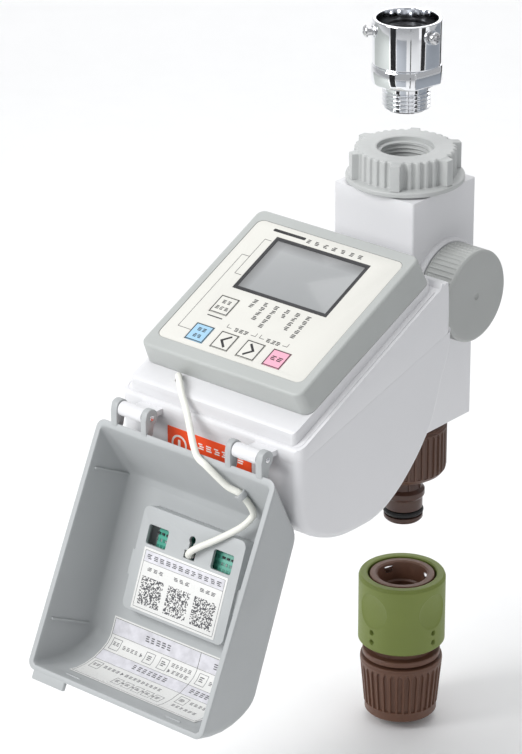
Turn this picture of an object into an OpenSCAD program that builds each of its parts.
// Solar garden tap timer: square valve column, slanted control head with a
// hinged cover, tap adaptor above the inlet nut and hose connector below the outlet.
// All heights are measured from the top face of the inlet nut and then lowered by
// 'drop', so that the origin is the centre of the tap adaptor's open mouth.

/* [Column] */
// Side of the square valve column
col_w = 43.2; // [42.6:0.1:43.4]
// Wall of the valve column
col_wall = 2.5; // [2:0.1:2.8]
// Radius of the column's vertical edges
col_r = 1; // [0.5:0.5:4]

/* [Inlet nut] */
// Outer diameter over the six lugs
nut_lug_d = 50; // [47:0.5:50]
// Diameter of the nut's ribbed body
nut_body_d = 44; // [43:0.5:45]
// Diameter of the nut's bottom flange
nut_flange_d = 51.4; // [50.5:0.1:52]
// Height of the inlet nut
nut_h = 14.5; // [14.3:0.1:14.6]
// Bore of the nut at its thread
nut_bore_d = 20.9; // [20.8:0.1:21]

/* [Head] */
// Half width of the head's side walls
head_hw = 48.5; // [48:0.1:48.7]
// Wall of the head's shells
head_wall = 2.5; // [2:0.1:2.8]
// Radius of the head's front corners seen from above
head_r = 4; // [3.5:0.5:8]
// Half width of the raised platform
plat_hw = 44.8; // [44.6:0.1:44.9]

/* [Panel] */
// Tilt of the control panel
panel_tilt = 25.2; // [25.1:0.1:25.3]
// Width of the bezel
bezel_w = 88.4; // [87:0.2:88.4]
// Width of the printed overlay
overlay_w = 78.6; // [75:0.2:78.6]
// Travel of each key
key_travel = 0.4; // [0.3:0.1:0.5]

/* [Cover] */
// Half width of the hinged cover at its rim
lid_hw = 48.8; // [48.6:0.1:49]
// Wall of the cover's sides
lid_wall = 2.6; // [2.4:0.1:2.6]
// Diameter of the steel hinge pins
pin_d = 2.5; // [2.4:0.1:2.6]
// Diameter of the hinge barrels
barrel_d = 6.3; // [6:0.1:6.6]

/* [Knob] */
// Diameter of the shut-off knob
knob_d = 41; // [40:0.2:41.2]
// Outer face of the knob from the column axis
knob_x = 39.8; // [39.6:0.1:40.2]

/* [Outlet] */
// Distance of the outlet axis behind the column axis
out_y = 2.2; // [2:0.1:2.4]
// Diameter of the outlet collar
collar_d = 37.8; // [36:0.2:38]
// Diameter of the O-ring seat tip of the outlet nipple
tip_d = 17.6; // [17.2:0.1:17.8]

/* [Tap adaptor] */
// Outer diameter of the adaptor's sleeve
ad_d = 29.6; // [29:0.1:30]
// Bore of the adaptor's open mouth
ad_bore = 26.4; // [26:0.1:26.6]
// Height of the adaptor
ad_h = 40; // [39.8:0.1:40.2]

/* [Hose connector] */
// Diameter of the sliding release sleeve
rel_d = 39.5; // [39:0.1:40]
// Height of the release sleeve
rel_h = 33.2; // [33:0.1:33.4]
// Diameter of the hose nut's wide end
hn_d = 37.6; // [37:0.1:38]
// Bore of the hose nut's mouth
hn_bore = 22; // [21:0.5:22]

/* [Lead] */
// Diameter of the solar lead
lead_d = 3; // [2.6:0.1:3]

/* [Hidden] */
drop = 57.5;
e = 0.02;
// hinge axis of the cover
hy = -140; hz = -85.5;
// direction of the open cover and its closed tilt
lid_open = 244.3;
// knob and ball axis height, solenoid axis height
kz = -59.1; sz = -82;
col_top = -15.2; col_bot = -125.6;
// parting plane, lip plane and platform plane as heights over y
function part_z(y) = -62.3 + (y + 28.9) * 0.2772;
function lip_z(y) = -39.9 + (y + 32.5) * 0.4616;
function plat_z(y) = -77.3 + (y + 127) * 0.441;
out_top = -205;

module place() translate([0, 0, -drop]) children();
module rr(w, h, r) { square([w - 2*r, h], center = true); square([w, h - 2*r], center = true);
  for (i = [-1, 1], j = [-1, 1]) translate([i*(w/2 - r), j*(h/2 - r)]) circle(r, $fn = 32); }
module rbox(x0, x1, y0, y1, z0, z1, r) translate([(x0+x1)/2, (y0+y1)/2, z0]) linear_extrude(z1 - z0) rr(x1-x0, y1-y0, r);
module box(x0, x1, y0, y1, z0, z1) translate([x0, y0, z0]) cube([x1-x0, y1-y0, z1-z0]);
module cz(r, z0, z1) translate([0, 0, z0]) cylinder(r = r, h = z1 - z0, $fn = 96);
module cx(r, x0, x1) translate([x0, 0, 0]) rotate([0, 90, 0]) cylinder(r = r, h = x1 - x0, $fn = 96);
module cy(r, y0, y1) translate([0, y1, 0]) rotate([90, 0, 0]) cylinder(r = r, h = y1 - y0, $fn = 64);
module rings(r0, r1, z0, z1) difference() { cz(r1, z0, z1); cz(r0, z0 - 1, z1 + 1); }
module xprism(x0, x1) translate([x0, 0, 0]) rotate([90, 0, 90]) linear_extrude(x1 - x0) children();
module spin() rotate_extrude($fn = 96) children();
module panel() translate([0, -44.2, -25.9]) rotate([panel_tilt, 0, 0]) children();
module lidf() translate([0, hy, hz]) rotate([lid_open, 0, 0]) children();
module floorf() lidf() translate([0, 26.6, 28.9]) rotate([4.2, 0, 0]) children();
module outax() translate([0, out_y, 0]) children();
module conn() translate([0, out_y, out_top]) children();

// ---------- tap adaptor ----------
at = drop;
module adaptor_body() color([0.8, 0.81, 0.83]) difference() {
  union() {
    translate([0, 0, at]) spin() polygon([[0, -ad_h], [9.6, -ad_h], [10.35, -ad_h + 0.8], [10.35, -31.4], [9.4, -31], [9.4, -29], [13, -27.9],
      [13, -20.3], [ad_d/2 - 0.6, -20.3], [ad_d/2 - 0.6, -19.5], [ad_d/2, -19.1], [ad_d/2, -0.7], [ad_d/2 - 0.7, 0], [0, 0]]);
    // ring with two flats for a spanner
    intersection() { cz(15.2, at - 27.9, at - 20.3); rotate([0, 0, -10]) box(-13.4, 13.4, -16, 16, at - 27.9, at - 20.3); }
    for (a = [110, 230, 350]) translate([0, 0, at - 5.1]) rotate([0, 0, a]) cx(3.4, 12, ad_d/2 + 0.5);
  }
  cz(ad_bore/2, at - 13.5, at + 1);
  cz(ad_bore/2 + 0.4, at - 19, at - 13);
  cz(7.2, at - ad_h - 1, at);
  for (a = [110, 230, 350]) translate([0, 0, at - 5.1]) rotate([0, 0, a]) cx(2, 10, ad_d/2 + 2);
}
module adaptor_packing() color([0.12, 0.12, 0.12]) translate([0, 0, at]) rings(8, ad_bore/2 + 0.3, -18.95, -13.05);
module clamp_screws() color([0.82, 0.82, 0.84]) for (a = [110, 230, 350]) translate([0, 0, at - 5.1]) rotate([0, 0, a]) {
  cx(1.95, 13.4, 17.2);
  difference() {
    rotate([0, 90, 0]) translate([0, 0, 17.2]) spin() polygon([[0, 0], [2.75, 0], [2.75, 0.9], [2.1, 1.7], [1, 2.0], [0, 2.0]]);
    for (b = [0, 90]) rotate([b, 0, 0]) box(18.4, 19.6, -1.6, 1.6, -0.3, 0.3);
  }
}

// ---------- inlet ----------
module inlet_nut() color([0.66, 0.67, 0.68]) difference() {
  union() {
    cz(nut_body_d/2, -nut_h, -1);
    translate([0, 0, -1]) cylinder(r1 = nut_body_d/2, r2 = nut_body_d/2 - 1, h = 1, $fn = 96);
    cz(nut_flange_d/2, -nut_h, -11.9);
    for (a = [-2:60:298]) rotate([0, 0, a]) rbox(19, nut_lug_d/2, -2.7, 2.7, -nut_h + 1, -0.4, 1.2);
  }
  cz(12.2, -1.9, 1);
  cz(nut_bore_d/2, -20, 1);
  cz(13, -13, -11);
}
module nut_retainer() color([0.8, 0.8, 0.78]) rings(9.6, 12.6, -12.8, -11.2);
module inlet_washer() color([0.1, 0.1, 0.1]) rings(6.9, 10.2, -11.2, -9.2);
module inlet_strainer() color([0.75, 0.76, 0.72]) spin() polygon([[6.9, -11.2], [7.5, -11.2], [7.5, -12.4], [6.4, -12.4], [5.2, -28], [0, -28], [0, -27.2], [4.5, -27.2], [5.6, -12], [6.9, -12]]);
module inlet_sleeve() color([0.9, 0.9, 0.9]) difference() {
  union() { cz(9.6, -42, -11.2); cz(14, -20.7, -18.2); }
  cz(7, -43, -12); cz(7.6, -12.45, -11);
}

// ---------- column and valve ----------
module valve_column() color([0.91, 0.91, 0.91]) difference() {
  union() {
    rbox(-col_w/2, col_w/2, -col_w/2, col_w/2, col_bot, col_top, col_r);
    // raised round seat behind the knob
    translate([0, 0, kz]) rotate([0, 90, 0]) spin() polygon([[0, col_w/2 - 0.5], [21.9, col_w/2 - 0.5], [21.9, 23], [20.9, 24], [0, 24]]);
  }
  rbox(-col_w/2 + col_wall, col_w/2 - col_wall, -col_w/2 + col_wall, col_w/2 - col_wall, col_bot + 3, col_top - 3, 1);
  cz(9.7, col_top - 4, col_top + 1);
  outax() cz(10.4, col_bot - 1, col_bot + 4);
  translate([0, 0, kz]) cx(6.2, 18, 25);
  box(-14, 14, -23, -18, -106, -66);
}
module valve_body() color([0.25, 0.25, 0.27]) difference() {
  union() {
    cz(12.8, -71, -41);
    box(-13, 13, -15, 15.5, -117, -70);
    translate([0, 0, kz]) cx(6, 10, 18.5);
    translate([0, 0, sz]) cy(9, -18.6, -14);
  }
  cz(9.7, -42.05, -40);
  cz(6, -52, -41);
  translate([0, 0, kz]) cz(8.2, -8.2, 8.2);
  translate([0, 0, kz]) cx(3.06, 7, 19);
  translate([0, 0, kz]) cx(4.7, 14.5, 17);
  translate([0, -6, 0]) cz(5, -76, -66);
  translate([0, 0, sz]) cy(10, -14, 3);
  translate([0, 0, sz]) cy(4.05, -20, -13);
  translate([0, 0, sz]) cy(4, 2, 9);
  translate([0, 9, 0]) cz(4, -100, sz);
  translate([0, 0, -100]) cy(4, 0, 9);
  outax() cz(5.5, -118, -98);
}
module ball_seats() color([0.95, 0.95, 0.93]) for (s = [-1, 1]) translate([0, 0, kz]) difference() { cz(8.0, s > 0 ? 6.2 : -8.1, s > 0 ? 8.1 : -6.2); cz(5, -9, 9); sphere(r = 7.95, $fn = 96); }
module valve_ball() color([0.8, 0.78, 0.7]) translate([0, 0, kz]) difference() { sphere(r = 7.9, $fn = 96); cz(5, -9, 9); box(5.6, 9, -3.2, 3.2, -1.3, 1.3); }
module valve_stem() color([0.75, 0.72, 0.62]) translate([0, 0, kz]) { cx(3, 8.1, 38.4); box(5.8, 8.2, -2.6, 2.6, -1.1, 1.1); }
module stem_oring() color([0.1, 0.1, 0.1]) translate([15.8, 0, kz]) rotate([0, 90, 0]) rotate_extrude($fn = 64) translate([3.8, 0]) circle(r = 0.78, $fn = 24);
module knob() color([0.65, 0.66, 0.66]) translate([0, 0, kz]) difference() {
  union() {
    difference() {
      rotate([0, 90, 0]) spin() polygon([[0, 24.4], [knob_d/2, 24.4], [knob_d/2, knob_x - 1.1], [knob_d/2 - 1.1, knob_x], [0, knob_x]]);
      cx(17.6, 24, knob_x - 2.4);
    }
    cx(5.5, 25, knob_x - 2);
  }
  cx(3, 20, 38.4);
  cx(1.3, knob_x - 0.5, knob_x + 1);
}
module solenoid_coil() color([0.5, 0.22, 0.12]) translate([0, 0, sz]) difference() { cy(10.5, -66, -42); cy(5.05, -70, -40); }
module solenoid_tube() color([0.6, 0.6, 0.62]) translate([0, 0, sz]) difference() { union() { cy(5, -68, -18.6); cy(8, -21.2, -18.6); } cy(4, -52.6, -18); }
module armature() color([0.55, 0.55, 0.58]) translate([0, 0, sz]) cy(3.93, -44, -3);
module valve_poppet() color([0.85, 0.85, 0.82]) translate([0, 0, sz]) cy(8.2, -3, 1.2);
module poppet_seal() color([0.12, 0.12, 0.12]) translate([0, 0, sz]) cy(7.2, 1.2, 2.9);
module return_spring() color([0.7, 0.7, 0.72]) translate([0, 0, sz]) difference() { cy(3.2, -52.4, -44.2); cy(2.2, -53, -43); }

// ---------- outlet ----------
module outlet_spigot() color([0.7, 0.71, 0.72]) outax() difference() { union() { cz(10.3, -145, -117); cz(14, -122.6, -119.6); } cz(6.5, -146, -116); }
module outlet_washer() color([0.1, 0.1, 0.1]) outax() rings(6.6, 10.2, -147, -145);
module outlet_collar() color([0.36, 0.26, 0.24]) outax() difference() {
  spin() polygon([[0, -129.2], [collar_d/2 - 1, -129.2], [collar_d/2, -130.2], [collar_d/2, -149.5], [collar_d/2 - 1.6, -152.5], [collar_d/2 - 5, -154.8], [10, -156.4], [0, -156.4]]);
  cz(10.37, -149.4, -128); cz(8.2, -158, -140);
}
module outlet_nipple() color([0.28, 0.22, 0.2]) outax() difference() {
  spin() polygon([[0, -147], [10.2, -147], [10.2, -149.1], [7.9, -149.1], [7.9, -161.5], [9.5, -162.8], [9.5, -165], [8.6, -166.2], [8.6, -171.4], [6.3, -171.4], [6.3, -174.6],
    [tip_d/2, -174.6], [tip_d/2, -176.4], [tip_d/2 - 1, -177.4], [0, -177.4]]);
  cz(5.2, -180, -140);
}
module nipple_oring() color([0.06, 0.06, 0.06]) outax() translate([0, 0, -173]) rotate_extrude($fn = 96) translate([7.72, 0]) circle(r = 1.4, $fn = 32);

// ---------- head shells ----------

module plan(hw, y0, y1, r, rb) translate([0, 0, -160]) linear_extrude(150) {
  translate([-hw + r, y0]) square([2*(hw - r), y1 - y0]);
  translate([-hw, y0 + r]) square([2*hw, y1 - y0 - r - rb]);
  translate([-hw + rb, y0 + r]) square([2*(hw - rb), y1 - y0 - r]);
  for (s = [-1, 1]) { translate([s*(hw - r), y0 + r]) circle(r, $fn = 48); translate([s*(hw - rb), y1 - rb]) circle(rb, $fn = 32); }
}
lower_out = [[-28, part_z(-28)], [-28.3, -68], [-29.8, -74], [-32, -79.5], [-34, -84], [-36.8, -93], [-40.5, -102], [-44.5, -107.8], [-50.2, -114.7], [-59.6, -123.4],
  [-67.6, -128.6], [-73.4, -131.3], [-81.3, -133.2], [-92.9, -133.3], [-100, -132.8], [-107, -131.2], [-115.3, -127.9], [-121.5, -124.2], [-124.8, -121], [-126.8, -117.8], [-128.5, -114], [-129, -110],
  [-129, part_z(-129)]];
lower_in = [[-30.6, -50], [-30.8, -68], [-32.2, -73.5], [-34.4, -79], [-36.4, -84], [-39.2, -92.6], [-42.8, -101], [-46.6, -106.3], [-52, -112.8], [-61, -121.3],
  [-68.8, -126.3], [-74.2, -128.8], [-81.6, -130.7], [-92.8, -130.8], [-99.6, -130.3], [-106.2, -128.8], [-114, -125.7], [-119.8, -122.2], [-122.6, -119.4], [-124.4, -116.8], [-126, -113.2], [-126.5, -110], [-126.5, -70]];
boss_xy = [[40, -52, -112.5], [-40, -52, -112.5], [36, -112, -126], [-36, -112, -126]];
module head_lower_shell() color([0.9, 0.9, 0.9]) difference() {
  union() {
    difference() {
      intersection() { xprism(-head_hw, head_hw) polygon(lower_out); plan(head_hw, -129, -28, head_r, 4); }
      intersection() { xprism(-head_hw + head_wall, head_hw - head_wall) polygon(lower_in); plan(head_hw - head_wall, -126.5, -30.5, head_r - 2.5, 2); }
    }
    // neck that carries the head on the column
    difference() {
      box(-20.5, 20.5, -38, -col_w/2, -104, part_z(-30) + 0.2);
      xprism(-30, 30) polygon([[-60, -50], [-60, -120], [-46.6, -106.3], [-42.8, -101], [-39.2, -92.6], [-36.4, -84], [-34.4, -79], [-32.2, -73.5], [-30.8, -68], [-30.6, -50]]);
    }
    // cradle of the storage cell
    for (x = [-16, 16]) difference() { box(x - 1.2, x + 1.2, -101, -83, -132, -113); translate([0, -92, -112]) cx(7.05, -30, 30); }
    // screw posts
    intersection() {
      for (b = boss_xy) translate([b[0], b[1], 0]) cz(4, b[2], part_z(b[1]) - 0.6);
      xprism(-head_hw + 1, head_hw - 1) polygon(lower_out);
    }
  }
  box(-14.5, 14.5, -60, -10, -100, -66);
  for (b = boss_xy) translate([b[0], b[1], 0]) { cz(1.6, -140, -50); cz(3, -140, part_z(b[1]) - 9); }
  xprism(-60, 60) polygon([[0, part_z(0)], [0, 0], [-150, 0], [-150, part_z(-150)]]);
}
upper_out = [[-28.9, part_z(-28.9)], [-32.4, lip_z(-32.4)], [-35.2, lip_z(-35.2) + 0.6], [-36.4, lip_z(-36.4) + 2.6], [-37.4, lip_z(-37.4) + 0.5], [-128.2, lip_z(-128.2) + 0.3], [-128.9, lip_z(-128.9) - 0.6], [-128.9, part_z(-128.9)]];
module head_upper_shell() color([0.92, 0.92, 0.92]) difference() {
  union() {
    intersection() { xprism(-49, 49) polygon(upper_out); plan(49, -128.9, -28.9, 4, 4); }
    // raised platform under the bezel
    intersection() {
      xprism(-plat_hw, plat_hw) polygon([[-38.3, -60], [-38.3, plat_z(-38.3)], [-126.2, plat_z(-126.2)], [-127.2, plat_z(-126.2) - 1], [-127.6, -88]]);
      plan(plat_hw, -127.6, -38.3, 2.5, 3);
    }
    // two hinge tongues
    for (s = [-1, 1]) {
      box(s > 0 ? 25.4 : -37.1, s > 0 ? 37.1 : -25.4, -140, -126, -88.4, -86);
      translate([0, hy, hz]) cx(barrel_d/2, s > 0 ? 24.9 : -37.6, s > 0 ? 37.6 : -24.9);
    }
    box(-20.5, 20.5, -33, -col_w/2, part_z(-28) + 0.2, -46);
  }
  // inside of the shell
  intersection() {
    xprism(-46.5, 46.5) polygon([[-31.6, -100], [-33.6, lip_z(-33.6) - 2.5], [-38.3, lip_z(-38.3) - 2.5], [-126.3, lip_z(-126.3) - 2.5], [-126.3, -100]]);
    plan(46.5, -126.4, -31.5, 2, 2);
  }
  intersection() {
    xprism(-plat_hw + 2.4, plat_hw - 2.4) polygon([[-41, -70], [-41, plat_z(-41) - 2.4], [-124.8, plat_z(-124.8) - 2.4], [-124.8, -100]]);
    plan(plat_hw - 2.4, -125, -41, 1.5, 1.5);
  }
  // window through the platform to the control board
  box(-32, 32, -104, -58, -90, -20);
  xprism(-60, 60) polygon([[0, part_z(0)], [0, -200], [-150, -200], [-150, part_z(-150)]]);
  box(-14.5, 14.5, -40, -10, -64, -50);
  translate([0, hy, hz]) cx(pin_d/2 + 0.05, -60, 60);
  // exit of the solar lead
  translate([-23.1, -120.9, 0]) cz(1.75, -90, -60);
  for (b = bez_xy) translate([b[0], b[1], 0]) cz(1.7, -100, -20);
}
module housing_screws() color([0.7, 0.7, 0.7]) for (b = boss_xy) translate([b[0], b[1], 0]) { cz(1.55, part_z(b[1]) - 9, part_z(b[1]) - 0.8); cz(2.8, part_z(b[1]) - 11, part_z(b[1]) - 9); }
module front_label() color([0.91, 0.32, 0.14]) box(-22.5, 23.5, -129.2, -129, -106.5, -92.5);

// ---------- control panel ----------
module bezel() color([0.75, 0.76, 0.76]) difference() {
  union() { panel() difference() {
    union() {
      translate([0, -43.7, -16]) linear_extrude(15) rr(bezel_w, 86.6, 3.6);
      translate([0, -43.7, -1.01]) linear_extrude(1.01) rr(bezel_w - 1.6, 85, 3);
    }
    // pocket of the overlay and window of the display
    translate([0, -43.2, -0.7]) linear_extrude(2) rr(overlay_w + 0.4, 74.6, 3.4);
    box(-25.4, 26.3, -45.2, -12.1, -4, 2);
    for (k = keys) translate([k[0], k[1], 0]) box(-k[2]/2 - 0.3, k[2]/2 + 0.3, -k[3]/2 - 0.3, k[3]/2 + 0.3, -4, 2);
    // hollow underside
    translate([0, -43.7, -17]) linear_extrude(14.3) rr(bezel_w - 5, 81.6, 2);
  }
  for (b = bez_xy) translate([b[0], b[1], 0]) cz(2.8, plat_z(b[1]) - 1, plat_z(b[1]) + 8);
  }
  for (b = bez_xy) translate([b[0], b[1], 0]) cz(1.55, -100, plat_z(b[1]) + 6);
  xprism(-60, 60) polygon([[20, plat_z(20)], [20, -150], [-180, -150], [-180, plat_z(-180)]]);
}
bez_xy = [[40, -47], [-40, -47], [40, -110], [-40, -110]];
// centre u, centre v, width, height of each key
keys = [[-21.3, -55.2, 9.6, 9.8], [-21.45, -72.45, 9.5, 9.5], [-7.7, -72.45, 9.2, 9.3], [6.55, -72.65, 9.3, 9.5], [20.6, -72.6, 9.2, 9.2]];
module bezel_screws() color([0.7, 0.7, 0.7]) for (b = bez_xy) translate([b[0], b[1], 0]) { cz(1.5, plat_z(b[1]) - 4.4, plat_z(b[1]) + 5); cz(2.3, plat_z(b[1]) - 6.4, plat_z(b[1]) - 4.4); }
module panel_overlay() color([0.9, 0.9, 0.88]) panel() difference() {
  translate([0, -43.2, -0.7]) linear_extrude(0.5) rr(overlay_w, 74.2, 3.2);
  box(-25.1, 26, -44.9, -12.4, -2, 2);
  for (k = keys) translate([k[0], k[1], 0]) box(-k[2]/2 - 0.2, k[2]/2 + 0.2, -k[3]/2 - 0.2, k[3]/2 + 0.2, -4, 2);
}
module lcd_frame() color([0.25, 0.25, 0.25]) panel() difference() { box(-25.05, 25.95, -44.85, -12.45, -1.2, -0.15); box(-23.35, 24.25, -43.15, -14.15, -3, 2); }
module lcd_window() color([0.72, 0.72, 0.72, 0.5]) panel() box(-23.3, 24.2, -43.1, -14.2, -1.2, -0.3);
module lcd_module() color([0.6, 0.62, 0.6]) panel() { box(-25, 25.9, -44.8, -12.5, -4.4, -1.3); box(-22, 23, -42, -15, -7.9, -4.4); }
module control_board() color([0.1, 0.4, 0.25]) panel() difference() { box(-36, 36, -79, -8, -9.6, -8); for (s = [-1, 1], v = [-76, -11]) translate([s*33, v, 0]) cz(1.6, -12, -6); }
module tact_switches() color([0.15, 0.15, 0.15]) panel() for (k = keys) translate([k[0], k[1], 0]) { box(-3, 3, -3, 3, -8, -5.8); cz(1.6, -5.8, -5.1); }
module storage_cell() color([0.2, 0.45, 0.3]) translate([0, -92, -112]) cx(7, -25, 25);
module key(i) panel() translate([keys[i][0], keys[i][1], 0]) {
  translate([0, 0, -3.4]) linear_extrude(3.3) rr(keys[i][2] - 0.2, keys[i][3] - 0.2, 0.6);
  box(-keys[i][2]/2 - 0.9, keys[i][2]/2 + 0.9, -keys[i][3]/2 - 0.9, keys[i][3]/2 + 0.9, -3.9, -2.95);
  cz(1.5, -4.65, -3.8);
}
module key_manual() color([0.9, 0.9, 0.88]) key(0);
module key_mode() color([0.7, 0.84, 0.93]) key(1);
module key_back() color([0.9, 0.9, 0.88]) key(2);
module key_next() color([0.9, 0.9, 0.88]) key(3);
module key_set() color([0.96, 0.72, 0.79]) key(4);

// ---------- hinged cover ----------
lid_out = [[6.8, 0], [23, 24.4], [24.5, 26.8], [27.5, 29], [93, 33.8], [97, 33.9], [101, 32.6], [104.5, 30], [108.4, 26.2], [111.5, 21.5], [113.9, 16], [115.6, 9], [116.6, 0]];
lid_in = [[9.1, -1], [25.2, 23.4], [27, 25.6], [30, 26.8], [92.6, 31.4], [96.5, 31.5], [99.6, 30.5], [102.6, 28.3], [106.3, 24.7], [109.3, 20.2], [111.6, 15], [113.4, 8.4], [114.3, 0], [114.4, -1]];
module lid_shell() color([0.73, 0.74, 0.74]) difference() {
  union() {
    lidf() difference() {
      xprism(-lid_hw, lid_hw) polygon(lid_out);
      xprism(-lid_hw + lid_wall, lid_hw - lid_wall) polygon(lid_in);
    }
    // hinge ears
    lidf() for (s = [-1, 1], p = [[21.5, 24.6], [37.9, 41.3]]) {
      cx(3.85, s > 0 ? p[0] : -p[1], s > 0 ? p[1] : -p[0]);
      box(s > 0 ? p[0] : -p[1], s > 0 ? p[1] : -p[0], 0, 9.6, 0.3, 3.4);
    }
    // side ribs, grab tab and snap bumps
    lidf() for (s = [-1, 1]) {
      for (v = [28, 94]) box(s > 0 ? lid_hw - lid_wall - 0.7 : -lid_hw, s > 0 ? lid_hw : -lid_hw + lid_wall + 0.7, v - 0.5, v + 0.5, 3.6, 25.5);
      box(s*28 - 4, s*28 + 4, 113.5, 115.2, 5.5, 6.6);
    }
    lidf() box(-45, -27, 115, 120.4, 0.3, 2.3);
  }
  // window of the solar panel
  floorf() box(-21.3, 21.3, 16, 48, -6, 3);
  floorf() box(-22.1, 22.1, 15.2, 48.8, -1.2, 3);
  lidf() cx(pin_d/2, -60, 60);
  // seat of the lead clip
  clip_axis() cz(2.75, -1.35, 1.35);
}
module hinge_pins() color([0.75, 0.75, 0.77]) translate([0, hy, hz]) for (s = [-1, 1]) cx(pin_d/2, s > 0 ? 21 : -41.8, s > 0 ? 41.8 : -21);
module clip_axis() lidf() translate([26.8, 17.9, 9.5]) rotate([0, 43.7, 43.7]) children();
module holder_plate() color([0.72, 0.73, 0.73]) floorf() difference() {
  union() {
    translate([0, 32.1, -8.9]) linear_extrude(6.45) rr(56, 44.8, 3);
    for (s = [-1, 1]) box(s > 0 ? 27 : -30.4, s > 0 ? 30.4 : -27, 29.8, 40.8, -7.2, -5.2);
  }
  translate([0, 32.1, -7.3]) linear_extrude(8) rr(52.8, 41.6, 2);
  for (s = [-1, 1]) translate([s*18, 21.2, -12]) linear_extrude(6) rr(10.9, 8.4, 1);
  translate([0.4, 17.1, 0]) cz(1.7, -12, -7);
  box(-0.6, 1.4, 17.1, 22.5, -12, -7);
  box(-2.4, 3.6, 21.9, 25.3, -12, -7);
}
module solar_board() color([0.2, 0.5, 0.42]) floorf() difference() { box(-21, 21, 16.2, 47.8, -4.4, -2.9); box(-2.5, 2.5, 16, 26, -6, -2); }
module solar_panel() color([0.08, 0.1, 0.2]) floorf() { box(-22, 22, 15.3, 48.7, -1.2, -0.1); box(-21.2, 21.2, 16.1, 47.9, -2.9, -1.2); }
module lid_code_label() color([0.95, 0.95, 0.94]) floorf() box(-23.1, 23.1, 26.7, 53.3, -9.05, -8.9);
module lid_guide_label() color([0.93, 0.93, 0.92]) lidf() translate([0, -0.03, -0.03]) xprism(-35, 35) polygon([[87.5, 31.04], [92.6, 31.4], [96.5, 31.5], [99.6, 30.5], [102.6, 28.3], [106.3, 24.7], [109.3, 20.2], [111.6, 15], [112.5, 11], [112.35, 11], [111.45, 14.95], [109.15, 20.1], [106.17, 24.58], [102.5, 28.16], [99.52, 30.36], [96.48, 31.35], [92.61, 31.25], [87.5, 30.89]]);
module lead_clip() color([0.7, 0.71, 0.71]) clip_axis() rings(1.65, 2.7, -1.3, 1.3);

// ---------- solar lead: swept tube along its route ----------
lead_pts = [[-23.1, -120.9, -79], [-23.1, -120.9, -74], [-21.8, -122.6, -72.4], [-18, -126.2, -73.3], [-14, -129.4, -76.2], [-9.8, -131.9, -79.9], [-4.6, -136, -83], [0.3, -140.1, -85.7],
  [5, -143.8, -88.6], [8.7, -145.4, -92.2], [13.9, -146.1, -94.2], [21.3, -142, -102.4], [26.8, -139.2, -105.7], [29.2, -134.9, -114.1], [26.9, -133.8, -118.7], [23.5, -136.4, -122.9],
  [14.3, -140.2, -129.7], [7, -142.8, -134.4], [3.3, -144.3, -137.2], [1, -143.3, -140], [0.6, -140.8, -141.3]];
function cr(a, b, c, d, t) = 0.5*(2*b + (c - a)*t + (2*a - 5*b + 4*c - d)*t*t + (3*b - a - 3*c + d)*t*t*t);
function lead_at(i, t) = let (n = len(lead_pts)) cr(lead_pts[max(i-1, 0)], lead_pts[i], lead_pts[min(i+1, n-1)], lead_pts[min(i+2, n-1)], t);
lead_path = concat([for (i = [0:len(lead_pts)-2], t = [0, 0.25, 0.5, 0.75]) lead_at(i, t)], [lead_pts[len(lead_pts)-1]]);
function unit(v) = v/norm(v);
lead_tan = [for (i = [0:len(lead_path)-1]) unit(lead_path[min(i+1, len(lead_path)-1)] - lead_path[max(i-1, 0)])];
module sweep(path, tan, r, n) {
  m = len(path);
  pts = [for (i = [0:m-1]) let (u = unit(cross(tan[i], [0.86, 0.1, -0.5])), w = cross(tan[i], u)) for (k = [0:n-1]) path[i] + r*(cos(360*k/n)*u + sin(360*k/n)*w)];
  faces = concat([[for (k = [0:n-1]) k]], [for (i = [0:m-2], k = [0:n-1], h = [0, 1]) h == 0 ? [i*n + k, (i+1)*n + k, (i+1)*n + (k+1)%n] : [i*n + k, (i+1)*n + (k+1)%n, i*n + (k+1)%n]], [[for (k = [n-1:-1:0]) (m-1)*n + k]]);
  polyhedron(points = pts, faces = faces, convexity = 10);
}
module solar_lead() color([0.93, 0.93, 0.9]) sweep(lead_path, lead_tan, lead_d/2, 8);

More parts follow.
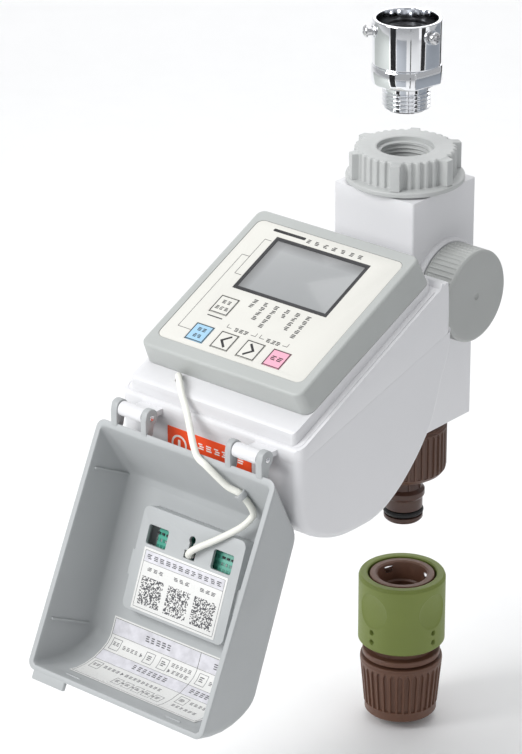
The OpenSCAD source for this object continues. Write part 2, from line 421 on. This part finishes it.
// ---------- hose connector ----------
module connector_body() color([0.4, 0.3, 0.27]) conn() difference() {
  union() {
    cz(14.7, -37.5, -0.4);
    cz(16.7, -33.9, -32.5);
    cz(17.7, -40.3, -37.5);
    cz(13.2, -52, -40);
    spin() polygon([[0, -51], [6.6, -51], [7.2, -54], [6.4, -55], [7.2, -57], [6.4, -58], [6.2, -60], [0, -60]]);
  }
  spin() polygon([[0, 1], [12.2, 1], [11.3, -0.9], [9.8, -5.4], [9.8, -8.6], [9.18, -9.4], [9.18, -20], [0, -20]]);
  cz(4.9, -61, -19);
  for (a = [45, 165, 285]) rotate([0, 0, a]) box(8, 16, -2.2, 2.2, -5, -1.6);
}
module lock_pawls() color([0.8, 0.8, 0.78]) conn() for (a = [45, 165, 285]) rotate([0, 0, a]) box(10, 14.4, -2.1, 2.1, -4.8, -1.8);
module grip_collet() color([0.9, 0.9, 0.88]) conn() difference() { rings(10.6, 13.2, -60.4, -53.2); for (a = [0, 60, 120]) rotate([0, 0, a]) box(-16, 16, -0.6, 0.6, -61, -55); }
module release_sleeve() color([0.46, 0.51, 0.24]) conn() difference() {
  spin() polygon([[0, -rel_h], [rel_d/2 - 0.8, -rel_h], [rel_d/2, -rel_h + 0.9], [rel_d/2, -1], [rel_d/2 - 1, 0], [0, 0]]);
  cz(15, -rel_h - 1, 1);
  cz(17.3, -rel_h - 1, -12);
}
module sleeve_spring() color([0.7, 0.7, 0.72]) conn() rings(15.3, 16.9, -32.4, -12.2);
module hose_nut() color([0.42, 0.32, 0.29]) conn() difference() {
  spin() polygon([[0, -41], [hn_d/2 - 1, -41], [hn_d/2, -42], [16.7, -64.3], [16.45, -64.6], [16.45, -68], [15.6, -69], [0, -69]]);
  cz(13.5, -60.5, -40); cz(hn_bore/2, -70, -50);
}

place() adaptor_body();
place() adaptor_packing();
place() clamp_screws();
place() inlet_nut();
place() nut_retainer();
place() inlet_washer();
place() inlet_strainer();
place() inlet_sleeve();
place() valve_column();
place() valve_body();
place() ball_seats();
place() valve_ball();
place() valve_stem();
place() stem_oring();
place() knob();
place() solenoid_coil();
place() solenoid_tube();
place() armature();
place() valve_poppet();
place() poppet_seal();
place() return_spring();
place() outlet_spigot();
place() outlet_washer();
place() outlet_collar();
place() outlet_nipple();
place() nipple_oring();
place() head_lower_shell();
place() head_upper_shell();
place() housing_screws();
place() front_label();
place() bezel();
place() bezel_screws();
place() panel_overlay();
place() lcd_window();
place() lcd_frame();
place() lcd_module();
place() control_board();
place() tact_switches();
place() storage_cell();
place() key_manual();
place() key_mode();
place() key_back();
place() key_next();
place() key_set();
place() lid_shell();
place() hinge_pins();
place() holder_plate();
place() solar_board();
place() solar_panel();
place() lid_code_label();
place() lid_guide_label();
place() lead_clip();
place() solar_lead();
place() connector_body();
place() lock_pawls();
place() grip_collet();
place() release_sleeve();
place() sleeve_spring();
place() hose_nut();
